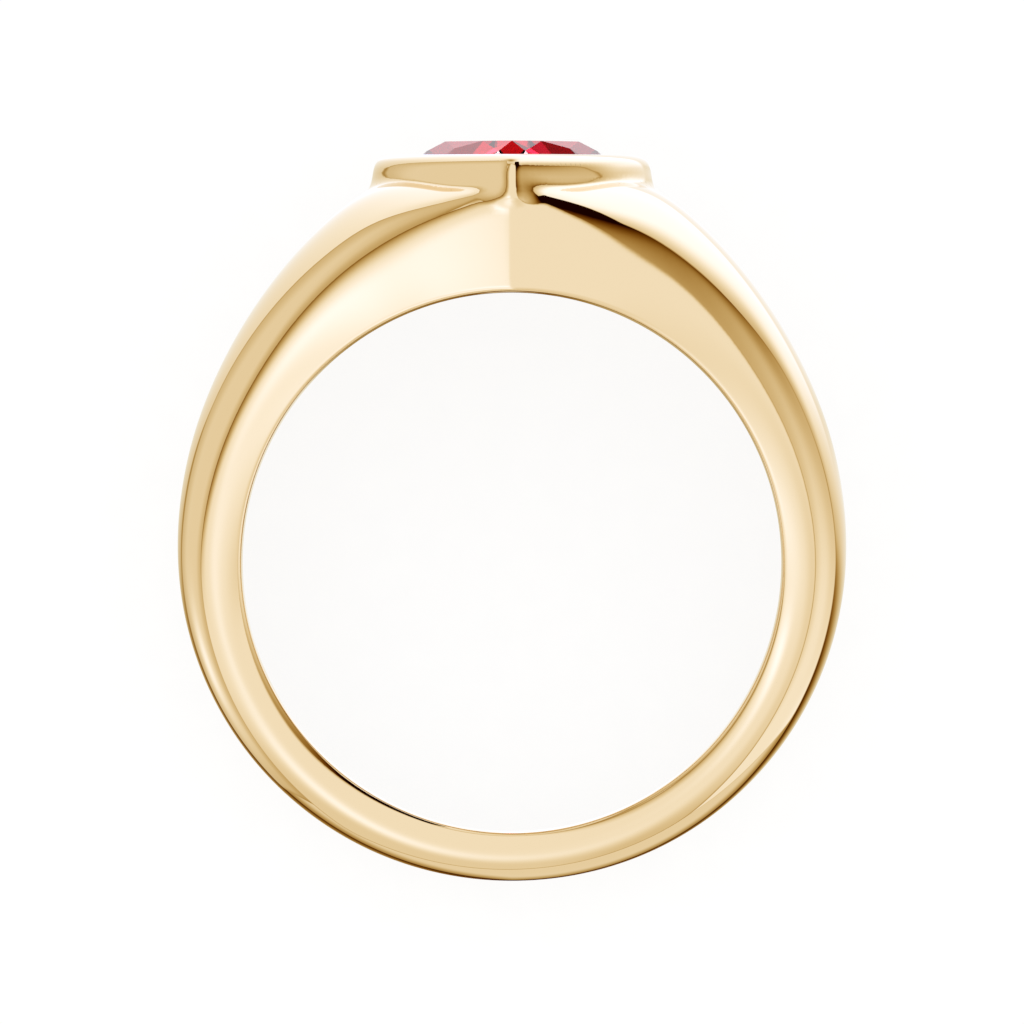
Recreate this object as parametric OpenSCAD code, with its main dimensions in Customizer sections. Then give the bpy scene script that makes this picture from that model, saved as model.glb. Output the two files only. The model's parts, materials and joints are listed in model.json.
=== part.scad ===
// Gold ring with broad shoulders and a pear-cut stone in a closed bezel.
// It lies on its flat back, with the finger hole's axis leaning by the taper of the band.
// While it is shaped, X runs across the ring, Y from the band's bottom to the stone, and Z along the finger.

/* [Finger hole] */
// Inside diameter, a US size 7
bore_d = 17.35; // [15:0.05:22]

/* [Band] */
// Width of the band along the finger at its bottom
band_w = 4; // [3:0.1:6]
// Radius of the rounded edge round the finger hole
inner_round = 0.35; // [0.2:0.05:0.5]
// How far the side faces bulge across the band's thickness
face_bulge = 0.08; // [0:0.01:0.12]
// How far the front faces fall back from the middle crease, on each side
prow_depth = 0.95; // [0.3:0.05:1.3]
// How quickly the shoulders round off towards their edges: higher is flatter on top
dome_power = 3.6; // [2:0.1:4]

/* [Stone] */
// Length of the pear-cut stone, along the finger
stone_l = 10; // [9:0.1:11]
// Width of the stone
stone_w = 7; // [6:0.1:7.5]
// Height of the crown above the girdle
crown_h = 1; // [0.8:0.05:1.1]
// Thickness of the girdle
girdle_t = 0.12; // [0.08:0.01:0.2]
// Depth of the pavilion below the girdle
pavilion_h = 2.9; // [2.5:0.05:3]

/* [Bezel] */
// Thickness of the bezel's wall outside the girdle
bezel_wall = 0.99; // [0.7:0.01:1.2]
// Height of the bezel's top above the finger hole
bezel_top = 4.395; // [4.2:0.005:4.6]
// Radius of the bezel's rounded top edge
bezel_round = 0.6; // [0.3:0.05:0.7]
// Radius of the bezel's pointed front corner, seen from above
bezel_tip_round = 0.43; // [0.3:0.01:0.8]
// How far the stone's girdle lies below the bezel's top
girdle_drop = 0.56; // [0.45:0.01:0.7]
// Space between the stone and its seat
seat_gap = 0.03; // [0.02:0.01:0.06]
// Width of the window under the stone, open to the finger hole
window_w = 3; // [2:0.1:4]

/* [Hidden] */

// One row for each station of a half ring, all in mm outside the finger hole.
// Columns: degrees from the stone, height of the dome, height of the front edge, radius of that edge
DOME = 1;
EDGE = 2;
ROUND = 3;
STATIONS = [
    [0, 3.75, 3.35, 0.35],
    [10, 3.9, 3, 0.55],
    [20, 4.15, 2.7, 0.75],
    [30, 3.68, 2.4, 0.9],
    [40, 3.18, 2.1, 0.9],
    [50, 2.78, 1.83, 0.9],
    [60, 2.49, 1.65, 0.9],
    [75, 2.21, 1.54, 0.9],
    [90, 2.05, 1.53, 0.9],
    [120, 1.83, 1.45, 0.85],
    [150, 1.66, 1.35, 0.8],
    [180, 1.57, 1.28, 0.8]
];
// Columns: degrees from the stone, share of the prow's depth that the front face has lost
LOST = 1;
PROW = [
    [0, 0],
    [15, 0.4],
    [30, 0.75],
    [50, 0.95],
    [75, 1],
    [100, 0.9],
    [130, 0.42],
    [155, 0.1],
    [180, 0]
];

// The stone's main facets, from the tip to the middle of the round end; the left side mirrors the right.
// Columns: way that the facet faces, its slope on the crown, shift of its corner along the table
FACES = 0;
SLOPE = 1;
SHIFT = 2;
MAINS = [
    [90, 27, 0],
    [33, 33, 0],
    [20, 34.8, 1.36],
    [-25, 29.3, 0.41],
    [-90, 31, 0]
];
// Between two mains. Columns: way that the outline faces there, drop of the star's lower corner
DROP = 1;
HALVES = [
    [46, 0.34],
    [27, 0.24],
    [0, 0.31],
    [-55, 0.3]
];

bore_r = bore_d / 2;
band_half = band_w / 2;
// Line along which the band's side faces stand out furthest
crest_out = 0.7;
crest_r = bore_r + crest_out;

// The stone's outline: a half circle at the back, and two longer arcs that meet in a tip
stone_half = stone_w / 2;
tip_reach = stone_l - stone_half;
side_r = (stone_half ^ 2 + tip_reach ^ 2) / stone_w;
side_e = side_r - stone_half;
stone_tip_round = 0.2;
// How far from the round end's centre the tip's own small arc is centred, for an outline grown by a distance
function tip_centre(grow, tip_round) = sqrt((side_r + grow - tip_round) ^ 2 - side_e ^ 2);

// The head, from the bezel's round end to its point
head_front = tip_centre(bezel_wall, bezel_tip_round) + bezel_tip_round;
head_back = stone_half + bezel_wall;
head_half = (head_front + head_back) / 2;
// The bezel stands a little proud of the body's front crease, and a little inside its back plane
proud = 0.04;
// Where the centre of the stone's round end lies along the finger
pear_z = head_back - head_half + proud;

rim_y = bore_r + bezel_top;
girdle_y = rim_y - girdle_drop;
table_y = girdle_y + crown_h;
// The bezel's back stands furthest out where its top edge starts to round
bezel_back_y = rim_y - bezel_round;

// The band tapers evenly, so that its back is one plane, and the front half-width follows the angle
taper = (head_half - band_half) / (bezel_back_y + crest_r);
tilt = atan(taper);
front_taper = (head_half - band_half) / (2 * crest_r);

// A smooth curve through one column of a table, level at both of its ends unless free is true
function slope(t, c, i, free) =
    i == 0 ? (free ? (t[1][c] - t[0][c]) / (t[1][0] - t[0][0]) : 0)
    : i == len(t) - 1 ? 0
    : (t[i + 1][c] - t[i - 1][c]) / (t[i + 1][0] - t[i - 1][0]);
function row_before(t, x, i = 0) = i >= len(t) - 2 || t[i + 1][0] >= x ? i : row_before(t, x, i + 1);
function hermite(a, b, ma, mb, span, k) =
    a * (1 + 2 * k) * (1 - k) ^ 2 + b * k ^ 2 * (3 - 2 * k)
    + span * (ma * k * (1 - k) ^ 2 - mb * k ^ 2 * (1 - k));
function along(t, c, x, free = false) =
    let (i = row_before(t, x), span = t[i + 1][0] - t[i][0])
    hermite(t[i][c], t[i + 1][c], slope(t, c, i, free), slope(t, c, i + 1, free), span, (x - t[i][0]) / span);

// Side faces of the body at a station and a distance from the finger hole's axis
function bulge(deg, r) = face_bulge * (1 - cos(deg)) * ((r - crest_r) / crest_out) ^ 2;
function front_z(deg, r) =
    band_half + crest_r * (1 + cos(deg)) * front_taper
    - prow_depth * along(PROW, LOST, deg, true) - bulge(deg, r);
function back_z(deg, r) = band_half + (r * cos(deg) + crest_r) * taper - bulge(deg, r);
function face_z(deg, r, front) = front ? front_z(deg, r) : back_z(deg, r);

// One half of a section, from the top of its dome round its edge to inside the finger hole
dome_steps = 5;
edge_steps = 4;
inner_steps = 3;
// Share of the edge's radius by which its rounding reaches into each face
edge_reach = 0.6;
// The inner rounding runs on past the finger hole's surface, so that the hole cuts it at an angle
overrun = 0.1;
inside_depth = 0.6;
function bezier(a, b, c, k) = a * (1 - k) ^ 2 + b * 2 * k * (1 - k) + c * k ^ 2;
function dome_r(deg, z, half) =
    let (top = along(STATIONS, DOME, deg), edge = along(STATIONS, EDGE, deg))
    bore_r + top - (top - edge) * (z / half) ^ dome_power;
function half_section(deg, front) =
    let (
        edge = bore_r + along(STATIONS, EDGE, deg),
        reach = edge_reach * along(STATIONS, ROUND, deg),
        half = face_z(deg, edge, front),
        dome_end = half - reach,
        face_start = edge - reach,
        face_end = bore_r + inner_round,
        inner_r = bore_r - overrun,
        hole_z = face_z(deg, bore_r, front)
    )
    concat(
        [for (i = [0:dome_steps - 1]) let (z = dome_end * i / dome_steps) [dome_r(deg, z, half), z]],
        [for (i = [0:edge_steps])
            bezier([dome_r(deg, dome_end, half), dome_end], [edge, half],
                [face_start, face_z(deg, face_start, front)], i / edge_steps)],
        [for (i = [0:inner_steps])
            bezier([face_end, face_z(deg, face_end, front)], [inner_r, hole_z],
                [inner_r, hole_z - inner_round], i / inner_steps)],
        [[bore_r - inside_depth, hole_z - inner_round]]
    );
function reversed(v) = [for (i = [len(v) - 1:-1:0]) v[i]];
function section(deg) =
    let (front = half_section(deg, true), back = half_section(deg, false))
    concat(reversed(front), [for (i = [1:len(back) - 1]) [back[i][0], -back[i][1]]]);

// Stations round the whole ring, closer together at the head by this share
stations = 64;
crowding = 0.4;
function station_deg(i) = let (t = 360 * i / stations) t - crowding * sin(t) * 180 / PI;
function folded(deg) = deg > 180 ? 360 - deg : deg;
function placed(deg, p) = [p[0] * sin(deg), p[0] * cos(deg), p[1]];
shank_rings = [for (i = [0:stations - 1])
    let (deg = station_deg(i)) [for (p = section(folded(deg))) placed(deg, p)]];

// Outline of the pear, grown by a distance, anticlockwise from its widest place on the right
side_steps = 9;
tip_steps = 4;
round_steps = 16;
sharpest = 0.1;
function arc(x, z, r, from, to, n) =
    [for (i = [0:n]) let (t = from + (to - from) * i / n) [x + r * cos(t), z + r * sin(t)]];
function pear(grow, tip_round) =
    let (
        reach = tip_centre(grow, tip_round),
        turn = atan2(reach, side_e),
        right = arc(-side_e, pear_z, side_r + grow, 0, turn, side_steps),
        tip = arc(0, pear_z + reach, tip_round, turn, 180 - turn, tip_steps),
        left = reversed([for (p = right) mirrored(p)]),
        back = arc(0, pear_z, stone_half + grow, 180, 360, round_steps)
    )
    concat(right, [for (i = [1:tip_steps - 1]) tip[i]], left, [for (i = [1:round_steps - 1]) back[i]]);

// The bezel's wall in rings, trimmed at the back to the plane that the ring lies on
bezel_foot = 1.4;
bezel_steps = 4;
function trimmed(y, p) = [p[0], y, max(p[1], proud - (band_half + (y + crest_r) * taper))];
function bezel_ring(y, inset) =
    [for (p = pear(bezel_wall - inset, max(bezel_tip_round - inset, sharpest))) trimmed(y, p)];
bezel_rings = concat(
    [bezel_ring(rim_y - bezel_foot, 0)],
    [for (i = [0:bezel_steps]) let (t = 90 * i / bezel_steps)
        bezel_ring(rim_y - bezel_round * (1 - sin(t)), bezel_round * (1 - cos(t)))]
);

// A closed solid through rings of points: joined end to end, or capped by its first and last ring
function ring_faces(n, i, j) =
    [for (k = [0:n - 1]) let (m = (k + 1) % n) each [
        [i * n + k, i * n + m, j * n + m],
        [i * n + k, j * n + m, j * n + k]
    ]];
module loft(rings, joined) {
    n = len(rings[0]);
    last = len(rings) - 1;
    between = [for (i = [0:last - 1]) each ring_faces(n, i, i + 1)];
    ends = joined ? ring_faces(n, last, 0)
        : [[for (k = [n - 1:-1:0]) k], [for (k = [0:n - 1]) last * n + k]];
    polyhedron(points = [for (r = rings) each r], faces = concat(between, ends));
}

// The stone's corners in plan, from the centre of its round end, for a stone grown by a distance.
// A main that faces more than tip_from degrees forward meets the girdle at the tip.
tip_from = 60;
function way(deg) = [cos(deg), sin(deg)];
function outline(deg, grow) =
    deg > tip_from ? [0, tip_centre(grow, stone_tip_round) + stone_tip_round]
    : deg > 0 ? [-side_e, 0] + (side_r + grow) * way(deg)
    : (stone_half + grow) * way(deg);
function main_edge(i, grow) = way(MAINS[i][FACES]) * outline(MAINS[i][FACES], grow);
// Where two lines cross, each given by the way it faces and its distance from the centre
function crossing(a, b, reach_a, reach_b) =
    let (wide = a[0] * b[1] - a[1] * b[0])
    [(reach_a * b[1] - reach_b * a[1]) / wide, (a[0] * reach_b - b[0] * reach_a) / wide];
// How far out a main lies at a distance below the table
function crown_reach(i, drop, grow) = main_edge(i, grow) - (crown_h - drop) / tan(MAINS[i][SLOPE]);
function star_point(i, grow) =
    crossing(way(MAINS[i][FACES]), way(MAINS[i + 1][FACES]),
        crown_reach(i, HALVES[i][DROP], grow), crown_reach(i + 1, HALVES[i][DROP], grow));
function table_point(i, grow) =
    let (deg = MAINS[i][FACES])
    outline(deg, grow) - way(deg) * crown_h / tan(MAINS[i][SLOPE]) + MAINS[i][SHIFT] * [sin(deg), -cos(deg)];
// The point of the pavilion, and how far up from it the lower half facets end
culet = [0, 0.8];
lower_half = 0.7;
function pavilion_point(i, grow) =
    culet + lower_half * (crossing(way(MAINS[i][FACES]), way(MAINS[i + 1][FACES]),
        main_edge(i, grow), main_edge(i + 1, grow)) - culet);

// Corners all round the stone, from those on the right: of the mains, and of what lies between them
mains = len(MAINS);
halves = len(HALVES);
corners = 2 * halves;
function mirrored(p) = [-p[0], p[1]];
function main_round(right) = concat(right, [for (i = [mains - 2:-1:1]) mirrored(right[i])]);
function half_round(right) = concat(right, [for (i = [halves - 1:-1:0]) mirrored(right[i])]);
function lifted(p, y) = [p[0], y, p[1] + pear_z];
function all_lifted(points, y) = [for (p = points) lifted(p, y)];

module stone_shape(grow) {
    table = main_round([for (i = [0:mains - 1]) table_point(i, grow)]);
    stars = half_round([for (i = [0:halves - 1]) star_point(i, grow)]);
    right_drops = [for (i = [0:halves - 1]) HALVES[i][DROP]];
    drops = concat(right_drops, reversed(right_drops));
    girdle_mains = main_round([for (i = [0:mains - 1]) outline(MAINS[i][FACES], grow)]);
    girdle_halves = half_round([for (i = [0:halves - 1]) outline(HALVES[i][FACES], grow)]);
    girdle = [for (i = [0:corners - 1]) each [girdle_mains[i], girdle_halves[i]]];
    lower = half_round([for (i = [0:halves - 1]) pavilion_point(i, grow)]);
    under_y = girdle_y - girdle_t;
    depth = pavilion_h + grow;
    points = concat(
        all_lifted(table, table_y),
        [for (i = [0:corners - 1]) lifted(stars[i], table_y - drops[i])],
        all_lifted(girdle, girdle_y),
        all_lifted(girdle, under_y),
        all_lifted(lower, under_y - depth * (1 - lower_half)),
        [lifted(culet, under_y - depth)]
    );
    // First corner of the stars, of the girdle's top and bottom and of the pavilion, and the culet
    s = corners;
    g = s + corners;
    b = g + 2 * corners;
    p = b + 2 * corners;
    c = p + corners;
    polyhedron(points = points, faces = concat(
        [[for (i = [corners - 1:-1:0]) i]],
        [for (i = [0:corners - 1])
            let (n = (i + 1) % corners, m = (i + corners - 1) % corners, f = 2 * i, h = f + 1, e = 2 * n)
            each [
                [n, s + i, i],
                [s + i, g + f, s + m, i],
                [g + h, g + f, s + i],
                [g + e, g + h, s + i],
                [g + h, b + h, b + f, g + f],
                [g + e, b + e, b + h, g + h],
                [b + f, b + h, p + i],
                [b + h, b + e, p + i],
                [p + m, b + f, p + i, c]
            ]]
    ));
}

// Window from the seat down into the finger hole, so that light reaches the stone from behind
module window() {
    inset = window_w / 2 - stone_half;
    foot_y = bore_r / 2;
    translate([0, girdle_y, 0]) rotate([90, 0, 0])
        linear_extrude(height = girdle_y - foot_y) polygon(pear(inset, sharpest));
}

module bore() {
    length = 4 * head_half;
    cylinder(h = length, r = bore_r, center = true, $fn = 96);
}

// Lays the ring down on its back plane, with the origin under the middle of its box
function laid(p) = [p[0], p[1] * cos(tilt) - p[2] * sin(tilt), p[1] * sin(tilt) + p[2] * cos(tilt)];
all_laid = [for (r = concat(shank_rings, bezel_rings)) each [for (p = r) laid(p)]];
table_laid = [for (i = [0:mains - 1]) laid(lifted(table_point(i, 0), table_y))];
floor_z = min([for (p = all_laid) p[2]]);
low_y = min([for (p = all_laid) p[1]]);
high_y = max([for (p = concat(all_laid, table_laid)) p[1]]);
module lay_down() {
    translate([0, -(low_y + high_y) / 2, -floor_z]) rotate([tilt, 0, 0]) children();
}

module ring_body() {
    color("goldenrod") lay_down() difference() {
        union() {
            loft(shank_rings, true);
            loft(bezel_rings, false);
        }
        stone_shape(seat_gap);
        window();
        bore();
    }
}

module stone() {
    color("crimson") lay_down() stone_shape(0);
}

ring_body();
stone();
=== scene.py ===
import json
import math

import bmesh
import bpy
import numpy as np
from mathutils import Matrix, Vector


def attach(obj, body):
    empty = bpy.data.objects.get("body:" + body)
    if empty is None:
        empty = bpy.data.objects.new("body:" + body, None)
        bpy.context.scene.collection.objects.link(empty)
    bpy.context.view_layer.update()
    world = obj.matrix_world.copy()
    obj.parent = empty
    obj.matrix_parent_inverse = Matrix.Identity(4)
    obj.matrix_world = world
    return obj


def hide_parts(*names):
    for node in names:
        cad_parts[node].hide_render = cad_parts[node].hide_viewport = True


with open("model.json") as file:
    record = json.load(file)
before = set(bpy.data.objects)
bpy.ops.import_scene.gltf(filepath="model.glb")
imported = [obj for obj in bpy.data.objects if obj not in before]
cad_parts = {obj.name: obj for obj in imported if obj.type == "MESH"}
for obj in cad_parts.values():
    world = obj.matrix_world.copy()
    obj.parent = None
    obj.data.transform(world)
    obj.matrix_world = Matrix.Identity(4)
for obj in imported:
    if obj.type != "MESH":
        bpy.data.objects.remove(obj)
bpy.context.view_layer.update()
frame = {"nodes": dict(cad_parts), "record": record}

# The finger hole: its axis points to the viewer, and everything is shaped round it in millimetres
MM = 0.001
hole = frame["record"]["mounts"][0]
W = Vector(hole["axis"]).normalized()
U = Vector((1, 0, 0))
V = W.cross(U)
TURN = np.array([U, V, W])
CENTRE = Vector(hole["pos_m"])
BORE_R = hole["dims"]["r_mm"]
stone = frame["nodes"]["stone"]

# Sizes of the ring, as in its source
BAND_HALF = 2.0
CREST_OUT = 0.7
CREST_R = BORE_R + CREST_OUT
PROW_DEPTH = 0.95
FACE_BULGE = 0.08
DOME_POWER = 3.6
STONE_HALF = 3.5
TIP_REACH = 6.5
BEZEL_WALL = 0.99
RIM_Y = BORE_R + 4.395
BEZEL_ROUND = 0.6
BEZEL_TIP_ROUND = 0.43
BEZEL_DEPTH = 1.4
WINDOW_HALF = 1.5
PROUD = 0.04
SIDE_R = (STONE_HALF ** 2 + TIP_REACH ** 2) / (2 * STONE_HALF)
SIDE_E = SIDE_R - STONE_HALF
HEAD_BACK = STONE_HALF + BEZEL_WALL
HEAD_FRONT = math.sqrt((SIDE_R + BEZEL_WALL - BEZEL_TIP_ROUND) ** 2 - SIDE_E ** 2) + BEZEL_TIP_ROUND
HEAD_HALF = (HEAD_FRONT + HEAD_BACK) / 2
PEAR_Z = HEAD_BACK - HEAD_HALF + PROUD
TAPER = (HEAD_HALF - BAND_HALF) / (RIM_Y - BEZEL_ROUND + CREST_R)
FRONT_TAPER = (HEAD_HALF - BAND_HALF) / (2 * CREST_R)

# Columns: degrees from the stone, height of the dome and height of its front edge outside the finger hole
STATIONS = np.array([
    [0, 3.75, 3.35], [10, 3.9, 3.0], [20, 4.15, 2.7], [30, 3.68, 2.4], [40, 3.18, 2.1],
    [50, 2.78, 1.83], [60, 2.49, 1.65], [75, 2.21, 1.54], [90, 2.05, 1.53],
    [120, 1.83, 1.45], [150, 1.66, 1.35], [180, 1.57, 1.28],
])
# Columns: degrees from the stone, share of the prow's depth that the front face has lost
PROW = np.array([
    [0, 0], [15, 0.4], [30, 0.75], [50, 0.95], [75, 1], [100, 0.9], [130, 0.42], [155, 0.1], [180, 0],
])

# How far each rounding reaches into the two faces that it joins
FRONT_EDGE = 0.9
BACK_EDGE = 0.8
HOLE_EDGE = 0.2
BEZEL_TIP = 0.55
BEZEL_RIM = 1.05
BEZEL_HEEL = 0.3
BEZEL_FILLET = 0.25
TIP_FILLET = 0.7
TIP_FILLET_REACH = 0.9
SIDE_FILLET = 0.7
SIDE_FILLET_FROM = 3.4
LIP_EDGE = 0.16
SEAT_GAP = 0.02

# The skin's mesh is made in this box, from cells of this size
BOX_LOW = np.array([-11.2, -11.0, -6.6])
BOX_HIGH = np.array([11.2, 13.6, 6.6])
PITCH = 0.155
EVENING_ROUNDS = 4

# The mesh is split where it bends by more than these degrees between two points, once for each, and every
# time within this distance of the edge between the hole and the front face
EDGE_BENDS = (12, 17)
EDGE_ZONE = 0.22


def hermite(table, column, at, sloped_start):
    """A smooth curve through one column of a table, level at its ends unless sloped_start is true."""
    t, v = table[:, 0], table[:, column]
    m = np.zeros(len(t))
    m[1:-1] = (v[2:] - v[:-2]) / (t[2:] - t[:-2])
    if sloped_start:
        m[0] = (v[1] - v[0]) / (t[1] - t[0])
    i = np.clip(np.searchsorted(t, at, side="right") - 1, 0, len(t) - 2)
    span = t[i + 1] - t[i]
    k = (at - t[i]) / span
    rise = v[i] * (1 + 2 * k) * (1 - k) ** 2 + v[i + 1] * k ** 2 * (3 - 2 * k)
    return rise + span * (m[i] * k * (1 - k) ** 2 - m[i + 1] * k ** 2 * (1 - k))


def round_the_ring(table, column, odd=False, step=0.05, blur=3.0, margin=60):
    """A column as a curve without kinks, from -margin to 180 + margin. An odd one crosses 0 in a crease."""
    deg = np.arange(-margin, 180 + margin + step, step)
    folded = np.where(deg < 0, -deg, np.where(deg > 180, 360 - deg, deg))
    value = hermite(table, column, folded, odd)
    if odd:
        value = np.where(deg < 0, -value, value)
    reach = np.arange(-4 * blur, 4 * blur + step, step)
    bell = np.exp(-0.5 * (reach / blur) ** 2)
    padded = np.pad(value, len(bell) // 2, mode="edge")
    return deg, np.convolve(padded, bell / bell.sum(), mode="valid")[:len(deg)]


TOP_CURVE = round_the_ring(STATIONS, 1)
EDGE_CURVE = round_the_ring(STATIONS, 2)
LOST_CURVE = round_the_ring(PROW, 1, odd=True)

# Degrees over which the crease in the front face is softened, and over which that softening dies away
CREASE_DEG = 0.6
CREASE_REACH = 10


def both(a, b, reach):
    """What lies in both of two fields, with the edge between them rounded."""
    near = np.maximum(reach - np.abs(a - b), 0)
    return np.maximum(a, b) + near ** 3 / (6 * reach * reach)


def either(a, b, reach):
    """What lies in one or the other of two fields, with the corner between them filled."""
    return -both(-a, -b, reach)


def bulge(cos, r):
    return FACE_BULGE * (1 - cos) * ((r - CREST_R) / CREST_OUT) ** 2


def front_z(deg, cos, r):
    softened = np.sqrt(deg ** 2 + CREASE_DEG ** 2) - CREASE_DEG * np.exp(-deg / CREASE_REACH)
    lost = PROW_DEPTH * np.interp(softened, *LOST_CURVE)
    return BAND_HALF + CREST_R * (1 + cos) * FRONT_TAPER - lost - bulge(cos, r)


def back_plane(y):
    return BAND_HALF + (y + CREST_R) * TAPER


def pear(x, z, grow):
    """Distance outside the stone's outline grown by a distance, seen from above."""
    z = z - PEAR_Z
    left = np.hypot(x - SIDE_E, z) - SIDE_R - grow
    right = np.hypot(x + SIDE_E, z) - SIDE_R - grow
    return np.where(z > 0, both(left, right, BEZEL_TIP), np.hypot(x, z) - STONE_HALF - grow)


def band_faces(x, y, z):
    """The dome, the front face and the back face of the band, each negative on the metal's side."""
    r = np.hypot(x, y)
    cos = y / r
    deg = np.degrees(np.arctan2(np.abs(x), y))
    top = np.interp(deg, *TOP_CURVE)
    edge = np.interp(deg, *EDGE_CURVE)
    edge_r = BORE_R + edge
    half = np.where(z > 0, front_z(deg, cos, edge_r), back_plane(edge_r * cos) - bulge(cos, edge_r))
    dome = r - BORE_R - top + (top - edge) * (np.abs(z) / half) ** DOME_POWER
    return dome, z - front_z(deg, cos, r), -z - back_plane(y) + bulge(cos, r)


def true_distances(faces, x, y, z, step=0.001):
    """Divides each face's field by its slope, so that roundings come out alike all over."""
    base = faces(x, y, z)
    moved = [faces(x + step, y, z), faces(x, y + step, z), faces(x, y, z + step)]
    slopes = [sum(((m[i] - b) / step) ** 2 for m in moved) for i, b in enumerate(base)]
    return [b / np.sqrt(s) for b, s in zip(base, slopes)]


def stone_planes():
    """The stone's facets as planes, in the ring's own millimetres: normals in rows, and their distances."""
    planes = {}
    for face in stone.data.polygons:
        n = face.normal
        centre = face.center - CENTRE
        row = (n.dot(U), n.dot(V), n.dot(W), n.dot(centre) / MM)
        planes[tuple(round(v, 3) for v in row)] = row
    rows = np.array(list(planes.values()))
    return rows[:, :3], rows[:, 3]


FACET_WAYS, FACET_REACH = stone_planes()


def outside_stone(p):
    """Distance outside the stone, which is convex."""
    reach = np.full(len(p), -np.inf)
    for way, distance in zip(FACET_WAYS, FACET_REACH):
        np.maximum(reach, p @ way - distance, out=reach)
    return reach


def metal(p):
    """The ring as a field: negative in the metal, and close to the distance from its surface."""
    x, y, z = p.T
    dome, front, back = true_distances(band_faces, x, y, z)
    band = both(dome, front, FRONT_EDGE)
    wall = both(pear(x, z, BEZEL_WALL), y - RIM_Y, BEZEL_RIM)
    bezel = both(wall, RIM_Y - BEZEL_DEPTH - y, BEZEL_HEEL)
    fillet = np.interp(np.abs(x), [SIDE_FILLET_FROM, HEAD_BACK], [BEZEL_FILLET, SIDE_FILLET])
    fillet += (TIP_FILLET - BEZEL_FILLET) * np.exp(-(x / TIP_FILLET_REACH) ** 2)
    solid = either(band, bezel, fillet)
    solid = both(both(solid, back, BACK_EDGE), BORE_R - np.hypot(x, y), HOLE_EDGE)
    head = np.flatnonzero(y > BORE_R / 2)
    seat = SEAT_GAP - outside_stone(p[head])
    window = both(pear(x[head], z[head], WINDOW_HALF - STONE_HALF), y[head] - BORE_R - BEZEL_WALL, LIP_EDGE)
    solid[head] = both(both(solid[head], seat, LIP_EDGE), -window, LIP_EDGE)
    return solid


def slope(p, step=0.002):
    """The field's unit gradient, which is the surface's normal."""
    g = np.empty_like(p)
    for axis in range(3):
        move = np.zeros(3)
        move[axis] = step
        g[:, axis] = metal(p + move) - metal(p - move)
    return g / np.linalg.norm(g, axis=1, keepdims=True)


def sample():
    """The field's value at each point of a grid, in slices to spare memory."""
    count = np.ceil((BOX_HIGH - BOX_LOW) / PITCH).astype(int) + 1
    xs, ys, zs = (low + PITCH * np.arange(n) for low, n in zip(BOX_LOW, count))
    values = np.empty(count)
    y, z = np.meshgrid(ys, zs, indexing="ij")
    for i, x in enumerate(xs):
        values[i] = metal(np.stack([np.full(y.size, x), y.ravel(), z.ravel()], 1)).reshape(y.shape)
    return values


def net(values):
    """A surface net: a point in each cell that the surface crosses, and a quad round each crossed edge."""
    inside = values < 0
    cells = tuple(n - 1 for n in values.shape)
    total = np.zeros(cells + (3,))
    hits = np.zeros(cells)
    for axis in range(3):
        others = [a for a in range(3) if a != axis]
        for shift in ((0, 0), (0, 1), (1, 0), (1, 1)):
            low = [slice(0, n) for n in cells]
            for other, s in zip(others, shift):
                low[other] = slice(s, s + cells[other])
            high = list(low)
            high[axis] = slice(1, 1 + cells[axis])
            low, high = tuple(low), tuple(high)
            crossed = inside[low] != inside[high]
            where = np.nonzero(crossed)
            a, b = values[low][where], values[high][where]
            total[where + (axis,)] += a / (a - b)
            for other, s in zip(others, shift):
                total[where + (other,)] += s
            hits[where] += 1
    used = np.nonzero(hits)
    index = np.full(cells, -1)
    index[used] = np.arange(len(used[0]))
    points = BOX_LOW + PITCH * (np.stack(used, 1) + total[used] / hits[used][:, None])
    quads = []
    for axis in range(3):
        b, c = (axis + 1) % 3, (axis + 2) % 3
        low = [slice(1, -1)] * 3
        high = [slice(1, -1)] * 3
        low[axis], high[axis] = slice(0, -1), slice(1, None)
        first, second = inside[tuple(low)], inside[tuple(high)]
        where = np.stack(np.nonzero(first != second), 1)
        leaves = first[tuple(where.T)]
        where[:, b] += 1
        where[:, c] += 1
        ring = []
        for back_b, back_c in ((1, 1), (0, 1), (0, 0), (1, 0)):
            cell = where.copy()
            cell[:, b] -= back_b
            cell[:, c] -= back_c
            ring.append(index[tuple(cell.T)])
        ring = np.stack(ring, 1)
        ring[~leaves] = ring[~leaves][:, ::-1]
        quads.append(ring)
    return points, np.concatenate(quads)


def drawn(points):
    """The points, drawn onto the surface in two steps."""
    for _ in range(2):
        points = points - slope(points) * metal(points)[:, None]
    return points


def settle(points, quads):
    """Evens out the points along the surface, and draws them onto it."""
    a = np.concatenate([quads[:, i] for i in range(4)])
    b = np.concatenate([quads[:, (i + 1) % 4] for i in range(4)])
    count = np.bincount(a, minlength=len(points))[:, None]
    for _ in range(EVENING_ROUNDS):
        mean = np.stack([np.bincount(a, points[b, k], len(points)) for k in range(3)], 1) / count
        normal = slope(points)
        along = mean - points
        along -= normal * (along * normal).sum(1, keepdims=True)
        points = points + 0.5 * along
        points = points - normal * metal(points)[:, None]
    return drawn(points)


def points_of(mesh):
    points = np.empty((len(mesh.vertices), 3))
    mesh.vertices.foreach_get("co", points.ravel())
    return points


def on_hole_edge(p):
    """True for points near the edge between the hole and the front face."""
    x, y, z = p.T
    return (np.hypot(x, y) < BORE_R + EDGE_ZONE) & (np.abs(band_faces(x, y, z)[1]) < EDGE_ZONE)


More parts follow.
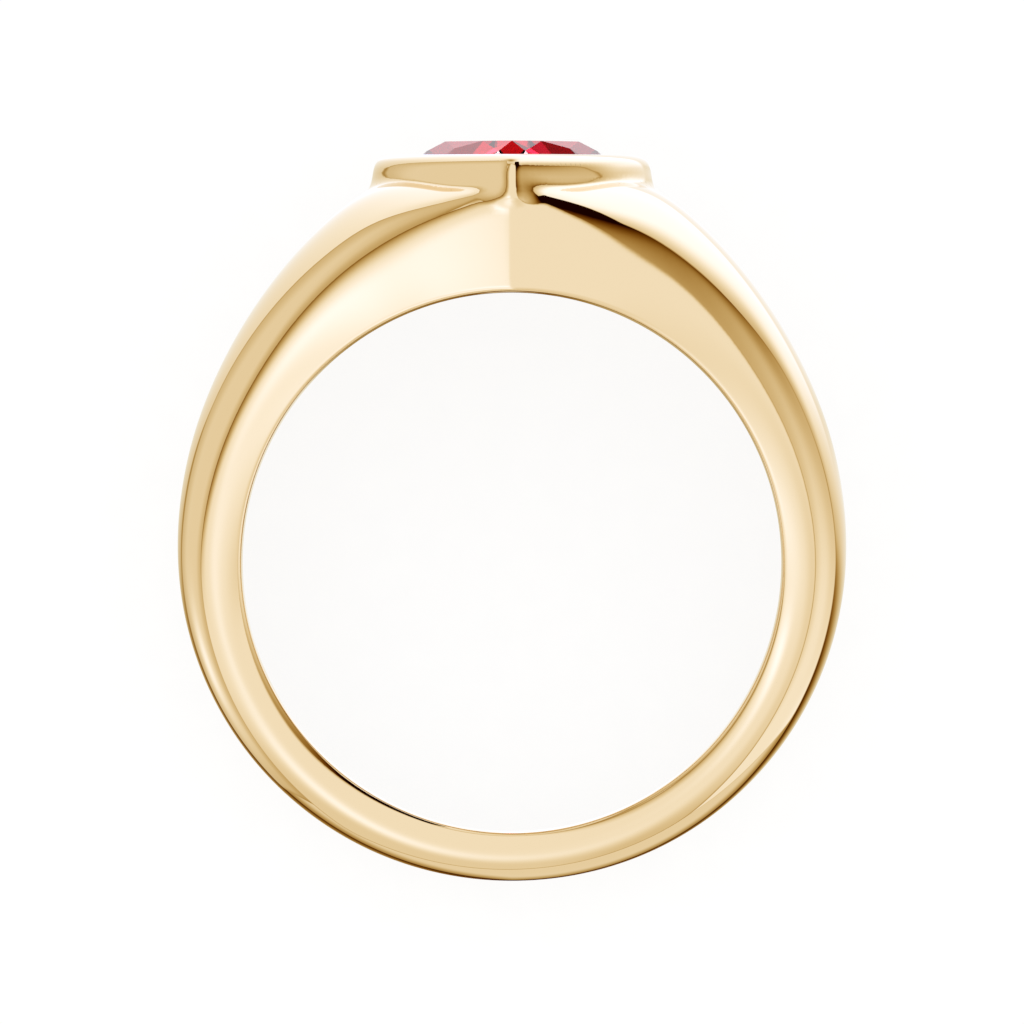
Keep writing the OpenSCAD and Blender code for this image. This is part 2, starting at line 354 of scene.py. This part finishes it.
def refine(mesh, bend):
    """Splits edges by the hole's edge and where the surface bends, and draws the new points onto it."""
    points = points_of(mesh)
    ends = np.empty((len(mesh.edges), 2), int)
    mesh.edges.foreach_get("vertices", ends.ravel())
    normals = slope(points)
    bent = (normals[ends[:, 0]] * normals[ends[:, 1]]).sum(1) < math.cos(math.radians(bend))
    bent |= on_hole_edge(points)[ends].any(1)
    shell = bmesh.new()
    shell.from_mesh(mesh)
    shell.edges.ensure_lookup_table()
    edges = [shell.edges[i] for i in np.flatnonzero(bent)]
    bmesh.ops.subdivide_edges(shell, edges=edges, cuts=1, use_grid_fill=True)
    shell.to_mesh(mesh)
    shell.free()
    mesh.vertices.foreach_set("co", drawn(points_of(mesh)).ravel())


def placed(points):
    """Points of the ring's own frame, in metres in the part's frame."""
    return points * MM @ TURN + np.array(CENTRE)


def make_ring():
    """The polished metal: band, shoulders and bezel in one smooth skin."""
    points, quads = net(sample())
    mesh = bpy.data.meshes.new("polished_ring")
    mesh.from_pydata(settle(points, quads).tolist(), [], quads.tolist())
    for bend in EDGE_BENDS:
        refine(mesh, bend)
    points = points_of(mesh)
    normals = slope(points)
    mesh.vertices.foreach_set("co", placed(points).ravel())
    mesh.polygons.foreach_set("use_smooth", np.ones(len(mesh.polygons), bool))
    mesh.normals_split_custom_set_from_vertices((normals @ TURN).tolist())
    mesh.update()
    ring = bpy.data.objects.new("polished_ring", mesh)
    bpy.context.scene.collection.objects.link(ring)
    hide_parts("ring_body")
    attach(ring, "root")
    return ring


class Graph:
    """Adds nodes to a node tree. Inputs are numbers, vectors or other nodes' outputs."""

    def __init__(self, tree):
        self.tree = tree
        tree.nodes.clear()

    def node(self, kind, inputs=(), **settings):
        made = self.tree.nodes.new(kind)
        for name, value in settings.items():
            setattr(made, name, value)
        for slot, value in dict(inputs).items():
            if isinstance(value, bpy.types.NodeSocket):
                self.tree.links.new(value, made.inputs[slot])
            else:
                made.inputs[slot].default_value = value
        return made

    def math(self, operation, *values):
        return self.node("ShaderNodeMath", enumerate(values), operation=operation).outputs[0]

    def curve(self, value, points):
        """A smooth curve through points, from 0 to 1."""
        made = self.node("ShaderNodeFloatCurve", {"Value": value})
        line = made.mapping.curves[0]
        line.points[0].location = points[0]
        line.points[1].location = points[-1]
        for x, y in points[1:-1]:
            line.points.new(x, y)
        made.mapping.update()
        return made.outputs[0]

    def mix(self, share, a, b):
        return self.math("ADD", a, self.math("MULTIPLY", share, self.math("SUBTRACT", b, a)))

    def less(self, share, value):
        """What a darkening leaves of the light: 1 less its share of a value."""
        return self.math("SUBTRACT", 1, self.math("MULTIPLY", value, share))

    def bell(self, value, width):
        off = self.math("DIVIDE", value, width)
        return self.math("EXPONENT", self.math("MULTIPLY", self.math("MULTIPLY", off, off), -1))

    def smoothstep(self, value, start, end):
        made = self.node("ShaderNodeMapRange", {0: value, 1: start, 2: end}, interpolation_type="SMOOTHSTEP")
        return made.outputs[0]


# The studio round the ring, as its polished metal mirrors it. A place in it is given as the lean of the
# surface that mirrors it to the camera: a is how many degrees it leans to the right, and b how many it leans
# up, to the stone. A card is convex, with one side for each pair: the way that the side faces, in degrees
# clockwise from up, and how far out it lies.
FRONT_CARD = [
    (-55, 20), (-69, 23.5), (-90, 33), (-104, 38.8), (-135, 56),
    (169, 43.7), (155, 39.8), (81, 14.8), (20, 24),
]
LEFT_CARD = [
    (90, -15), (147, 18.4), (-8, 41.6), (-31, 57.3), (-58, 70),
    (-75, 73.2), (-90, 76.5), (-110, 76.5), (-135, 75),
]
RIGHT_CARD = [(-90, -9), (180, 34), (106, 59), (90, 58.5), (76, 55.3), (60, 50), (5, 22.7)]
RIGHT_FLAG = [(82, 24), (0, 33.5), (-90, -9), (180, -14)]
CARD_CORNER = 5
CARD_BLUR = 0.3

# Behind the cards, for each 30 degrees clockwise from below: where the dark gap lies, how dark and how wide
# it is, and how light it gets behind it
GAP_AT = [82, 70.5, 77, 78, 60, 30, 24, 26, 40, 57, 62, 75.5]
GAP_DEPTH = [0.9, 0.92, 0.88, 0.2, 0, 0, 0, 0, 0, 0.2, 0.96, 0.93]
GAP_WIDTH = [20, 22, 12, 9, 11, 11, 11, 11, 14, 20, 20, 14]
BACK_LIGHT = [0.6, 0.9, 0.9, 0.84, 0.93, 1.1, 1.2, 1.24, 1.18, 0.94, 1.05, 1.05]

# The light before the gap, far from it and next to it, over which degrees it falls, and how sharply the
# light comes back behind the gap
BEFORE_GAP = (0.88, 0.43)
BEFORE_RAMP = (-18, 1)
GAP_SHARPNESS = 1.4

# Shades on what is behind the cards: the share of the light that each takes, and the ramps up to its full
# strength, each with what it is measured along and where it starts and ends. The top shade is a soft oval
BACK_SHADES = [
    (0.42, [("b", 42, 14), ("a", -30, -10), ("a", 62, 44)]),
    (0.16, [("b", 10, 30), ("a", 0, 10), ("lean", 76, 79)]),
]
TOP_SHADE = 0.6
TOP_SHADE_AT = (-3, 41)
TOP_SHADE_SIZE = (14, 8)

# Lights on the cards. A spot has its place, its size and how much light it adds or takes
LEFT_LIGHT = 0.875
LEFT_SPOT = ((-52, -23), 8.5, 0.27)
LEFT_BY_FRONT = 0.17
LEFT_BY_FRONT_REACH = 10
LEFT_EDGE = 0.18
LEFT_EDGE_REACH = 16
FRONT_LIGHT = (0.86, 0.99)
FRONT_RAMP = (-32, -12)
FRONT_SPOTS = [((-7, -17), 8, 0.19), ((-9.5, -3.5), 4.5, 0.23)]
FRONT_CORNER = 0.09
FRONT_CORNER_RAMPS = [("a", 2, 12), ("b", -4, -12)]
DUSK = 0.65
DUSK_WAY = -62
DUSK_RAMP = (11.5, 22)
DUSK_END = [("b", -14, -4)]
SIDE_LINE = 0.25
FRONT_LINE = 0.4

# The right card's light, at even steps from lowest to highest. Near the front card it is that of a place
# higher up, and far from it the light falls evenly instead
RIGHT_FALL = [1.03, 1.01, 0.96, 0.9, 0.83, 0.75, 0.66, 0.54, 0.39, 0.17, 0]
RIGHT_LOWEST = -16
RIGHT_HIGHEST = 24
RIGHT_LIFT = 11
RIGHT_NEAR_RAMP = (28, 12)
RIGHT_FAR_RAMP = (32, 50)
RIGHT_FAR_LIGHT = 0.8
RIGHT_FAR_FALL = 0.0095

# What the stone mirrors and gathers: a plain studio that dims downwards, with a dark flag above the stone's
# front, a small shade to the upper left, a large one to the upper right and two small lamps that light its
# lowest facets
FLAG = [(90, 39), (-90, 12), (0, 66.5), (180, -45)]
FLAG_LIGHT = 0.03
STONE_LIGHT = (0.6, 1.1)
STONE_RAMP = (12, 20)
SHADES = [((-24, 23), 6, 0.95), ((27, 30), 12, 0.95)]
LAMPS = [((-28, 52), 3, 8), ((28, 52), 3, 8)]
STONE_TINT = (1.06, 0.93, 0.99, 1)

# The studio's colour at a light of L is L to the power of each of these, so shadows in the gold turn brown
WARMTH = (1.0, 1.52, 2.85)
DARKEST = 0.01
FLOOR_LIGHT = 1.22
BACKDROP_LIGHT = 1.0
FLOOR_GLOW = 0.88
WHITE = (1, 1, 1, 1)


class Studio:
    """Works out the light in the direction of a ray, in nodes."""

    def __init__(self, g):
        self.g = g
        ray = g.node("ShaderNodeTexCoord").outputs["Generated"]
        right, up, front = (self.along(ray, axis) for axis in (U, V, W))
        half_turn = g.math("MULTIPLY", g.math("ARCCOSINE", front), 90 / math.pi)
        way = g.math("ARCTAN2", right, up)
        self.lean = half_turn
        self.turn = g.math("ADD", g.math("DIVIDE", way, 2 * math.pi), 0.5)
        self.a = g.math("MULTIPLY", half_turn, g.math("SINE", way))
        self.b = g.math("MULTIPLY", half_turn, g.math("COSINE", way))
        self.place = g.node("ShaderNodeCombineXYZ", {0: self.a, 1: self.b, 2: 1.0}).outputs[0]

    def along(self, vector, axis):
        made = self.g.node("ShaderNodeVectorMath", {0: vector, 1: axis}, operation="DOT_PRODUCT")
        return made.outputs["Value"]

    def through(self, place, values):
        """A smooth curve through values at even steps, as the place goes from 0 to 1."""
        most = max(values)
        points = [(i / (len(values) - 1), v / most) for i, v in enumerate(values)]
        return self.g.math("MULTIPLY", self.g.curve(place, points), most)

    def by_way(self, values):
        """A smooth curve through a value for each 30 degrees clockwise from below, and back to below."""
        return self.through(self.turn, values + values[:1])

    def outside(self, card):
        """How many degrees outside a card, or inside it if negative."""
        out = None
        for way, reach in card:
            facing = (math.sin(math.radians(way)), math.cos(math.radians(way)), -reach)
            side = self.along(self.place, facing)
            out = side if out is None else self.g.math("SMOOTH_MAX", out, side, CARD_CORNER)
        return out

    def spot(self, centre, size, light):
        """A soft round patch of light."""
        ends = {0: self.place, 1: (centre[0], centre[1], 1)}
        away = self.g.node("ShaderNodeVectorMath", ends, operation="DISTANCE").outputs["Value"]
        return self.g.math("MULTIPLY", self.g.bell(away, size), light)

    def framed(self, light, out, depth):
        """A card's light with a dark line along its edge, about a degree wide."""
        return self.g.math("MULTIPLY", light, self.g.less(depth, self.g.bell(out, 1)))

    def lay(self, under, out, over):
        return self.g.mix(self.g.smoothstep(out, CARD_BLUR, -CARD_BLUR), under, over)

    def zone(self, ramps):
        """1 where every ramp has ended, and 0 where one hasn't begun."""
        inside = 1
        for name, start, end in ramps:
            inside = self.g.math("MULTIPLY", self.g.smoothstep(getattr(self, name), start, end), inside)
        return inside

    def behind(self):
        """The light between and behind the cards: dim before the gap, dark in it and bright behind it."""
        g = self.g
        past = g.math("SUBTRACT", self.lean, self.by_way(GAP_AT))
        before = g.mix(g.smoothstep(past, *BEFORE_RAMP), *BEFORE_GAP)
        far = g.math("DIVIDE", g.math("MAXIMUM", past, 0), self.by_way(GAP_WIDTH))
        fade = g.math("EXPONENT", g.math("MULTIPLY", g.math("POWER", far, GAP_SHARPNESS), -1))
        after = g.math("MULTIPLY", self.by_way(BACK_LIGHT), g.less(fade, self.by_way(GAP_DEPTH)))
        for share, ramps in BACK_SHADES:
            after = g.math("MULTIPLY", after, g.less(share, self.zone(ramps)))
        across = g.bell(g.math("SUBTRACT", self.a, TOP_SHADE_AT[0]), TOP_SHADE_SIZE[0])
        over = g.bell(g.math("SUBTRACT", self.b, TOP_SHADE_AT[1]), TOP_SHADE_SIZE[1])
        after = g.math("MULTIPLY", after, g.less(TOP_SHADE, g.math("MULTIPLY", across, over)))
        return g.mix(g.smoothstep(past, -1, 1), before, after)

    def left_card(self, out, front_out):
        """It darkens towards its edge, and where the front card stands before it."""
        g = self.g
        light = g.math("ADD", self.spot(*LEFT_SPOT), LEFT_LIGHT)
        by_front = g.smoothstep(front_out, LEFT_BY_FRONT_REACH, 0)
        by_edge = g.smoothstep(out, -LEFT_EDGE_REACH, 0)
        light = g.math("MULTIPLY", light, g.less(LEFT_BY_FRONT, by_front))
        light = g.math("MULTIPLY", light, g.less(LEFT_EDGE, by_edge))
        return self.framed(light, out, SIDE_LINE)

    def right_card(self, out):
        """It darkens upwards, most steeply near the front card."""
        g = self.g
        lift = g.math("MULTIPLY", g.smoothstep(self.a, *RIGHT_NEAR_RAMP), RIGHT_LIFT)
        ends = {0: g.math("ADD", self.b, lift), 1: RIGHT_LOWEST, 2: RIGHT_HIGHEST}
        near = self.through(g.node("ShaderNodeMapRange", ends).outputs[0], RIGHT_FALL)
        far = g.math("SUBTRACT", RIGHT_FAR_LIGHT, g.math("MULTIPLY", self.b, RIGHT_FAR_FALL))
        return self.framed(g.mix(g.smoothstep(self.a, *RIGHT_FAR_RAMP), near, far), out, SIDE_LINE)

    def front_card(self, out):
        """Brightest in two soft spots near the middle, and dusky towards its upper left side."""
        g = self.g
        light = g.mix(g.smoothstep(self.b, *FRONT_RAMP), *FRONT_LIGHT)
        light = g.math("SUBTRACT", light, g.math("MULTIPLY", self.zone(FRONT_CORNER_RAMPS), FRONT_CORNER))
        for spot in FRONT_SPOTS:
            light = g.math("ADD", light, self.spot(*spot))
        way = math.radians(DUSK_WAY)
        upper_left = self.along(self.place, (math.sin(way), math.cos(way), 0))
        dusk = g.math("MULTIPLY", g.smoothstep(upper_left, *DUSK_RAMP), self.zone(DUSK_END))
        return self.framed(g.math("MULTIPLY", light, g.less(DUSK, dusk)), out, FRONT_LINE)

    def light(self):
        left, right, front = (self.outside(card) for card in (LEFT_CARD, RIGHT_CARD, FRONT_CARD))
        light = self.lay(self.behind(), left, self.left_card(left, front))
        light = self.lay(light, self.outside(RIGHT_FLAG), DARKEST)
        light = self.lay(light, right, self.right_card(right))
        light = self.lay(light, front, self.front_card(front))
        return self.g.math("MAXIMUM", light, DARKEST)

    def stone_light(self):
        """What the stone gets: light from above, two lamps, and a flag and two shades against it."""
        g = self.g
        light = g.mix(g.smoothstep(self.b, *STONE_RAMP), *STONE_LIGHT)
        light = self.lay(light, self.outside(FLAG), FLAG_LIGHT)
        for shade in SHADES:
            light = g.math("SUBTRACT", light, self.spot(*shade))
        for lamp in LAMPS:
            light = g.math("ADD", light, self.spot(*lamp))
        return g.math("MAXIMUM", light, DARKEST)


def make_world():
    """The studio for what the metal mirrors, a plain one for the stone, and an even light for the floor."""
    world = bpy.data.worlds.new("studio")
    bpy.context.scene.world = world
    world.use_nodes = True
    g = Graph(world.node_tree)
    studio = Studio(g)
    light = studio.light()
    channels = {i: g.math("POWER", light, warmth) for i, warmth in enumerate(WARMTH)}
    warm = g.node("ShaderNodeCombineColor", channels).outputs[0]

    path = g.node("ShaderNodeLightPath")
    mirrored = g.node("ShaderNodeBackground", {"Color": warm})
    through_stone = g.node("ShaderNodeBackground", {"Color": STONE_TINT, "Strength": studio.stone_light()})
    floor_light = g.node("ShaderNodeBackground", {"Color": WHITE, "Strength": FLOOR_LIGHT})
    backdrop = g.node("ShaderNodeBackground", {"Color": WHITE, "Strength": BACKDROP_LIGHT})
    shader = mirrored.outputs[0]
    others = {"Is Singular Ray": through_stone, "Is Diffuse Ray": floor_light, "Is Camera Ray": backdrop}
    for ray, other in others.items():
        choice = {0: path.outputs[ray], 1: shader, 2: other.outputs[0]}
        shader = g.node("ShaderNodeMixShader", choice).outputs[0]
    g.node("ShaderNodeOutputWorld", {"Surface": shader})


def new_material(name):
    made = bpy.data.materials.new(name)
    made.use_nodes = True
    return made, Graph(made.node_tree)


GOLD = (0.896, 0.730, 0.485, 1)


def gold_material():
    """Mirror-polished yellow gold, with the faint uneven haze that a polishing wheel leaves."""
    material, g = new_material("polished_gold")
    place = g.node("ShaderNodeTexCoord").outputs["Object"]
    haze = g.node("ShaderNodeTexNoise", {"Vector": place, "Scale": 900, "Detail": 3}).outputs["Fac"]
    rough = g.node("ShaderNodeMapRange", {0: haze, 1: 0.3, 2: 0.7, 3: 0.012, 4: 0.03}).outputs[0]
    shader = g.node("ShaderNodeBsdfPrincipled", {"Base Color": GOLD, "Metallic": 1.0, "Roughness": rough})
    g.node("ShaderNodeOutputMaterial", {"Surface": shader.outputs[0]})
    return material


RUBY = (0.8, 0.018, 0.042, 1)
RUBY_DEEP = (0.64, 0.008, 0.022, 1)


def stone_material():
    """Clear deep red stone with polished facets. Its colour drifts a little, as natural stones' does."""
    material, g = new_material("red_stone")
    place = g.node("ShaderNodeTexCoord").outputs["Object"]
    drift = g.node("ShaderNodeTexNoise", {"Vector": place, "Scale": 400, "Detail": 2}).outputs["Fac"]
    colour = g.node("ShaderNodeMix", {0: drift, 6: RUBY_DEEP, 7: RUBY}, data_type="RGBA").outputs[2]
    shader = g.node("ShaderNodeBsdfPrincipled", {
        "Base Color": colour, "Roughness": 0.0, "IOR": 1.77, "Transmission Weight": 1.0,
    })
    g.node("ShaderNodeOutputMaterial", {"Surface": shader.outputs[0]})
    return material


def make_floor():
    """A plain pale floor under the ring, which shows neither in the metal nor through the stone."""
    size = 2.0
    mesh = bpy.data.meshes.new("floor")
    corners = [(-size, -size, 0), (size, -size, 0), (size, size, 0), (-size, size, 0)]
    mesh.from_pydata(corners, [], [(0, 1, 2, 3)])
    floor = bpy.data.objects.new("floor", mesh)
    bpy.context.scene.collection.objects.link(floor)
    floor.visible_glossy = False
    floor.visible_transmission = False
    material, g = new_material("pale_floor")
    grain = g.node("ShaderNodeTexNoise", {"Scale": 4000, "Detail": 2}).outputs["Fac"]
    paper = g.node("ShaderNodeMapRange", {0: grain, 1: 0.3, 2: 0.7, 3: 0.11, 4: 0.12}).outputs[0]
    shader = g.node("ShaderNodeBsdfPrincipled", {
        "Base Color": paper, "Roughness": 0.9,
        "Emission Color": WHITE, "Emission Strength": FLOOR_GLOW,
    })
    g.node("ShaderNodeOutputMaterial", {"Surface": shader.outputs[0]})
    mesh.materials.append(material)


def make_camera():
    """A very long lens that looks straight down the finger hole, as in the photograph."""
    frame_width = 32.9 * MM
    above_hole = 1.6 * MM
    lens = 1500
    sensor = 36
    camera = bpy.data.cameras.new("camera")
    camera.lens = lens
    camera.sensor_width = sensor
    distance = frame_width * lens / sensor
    camera.clip_start = 0.1
    camera.clip_end = 10
    eye = bpy.data.objects.new("camera", camera)
    bpy.context.scene.collection.objects.link(eye)
    facing = Matrix((U, V, W)).transposed().to_4x4()
    eye.matrix_world = Matrix.Translation(CENTRE + V * above_hole + W * distance) @ facing
    bpy.context.scene.camera = eye


bpy.context.scene.view_settings.view_transform = "Standard"
ring = make_ring()
ring.data.materials.append(gold_material())
stone.data.materials.clear()
stone.data.materials.append(stone_material())
make_world()
make_floor()
make_camera()
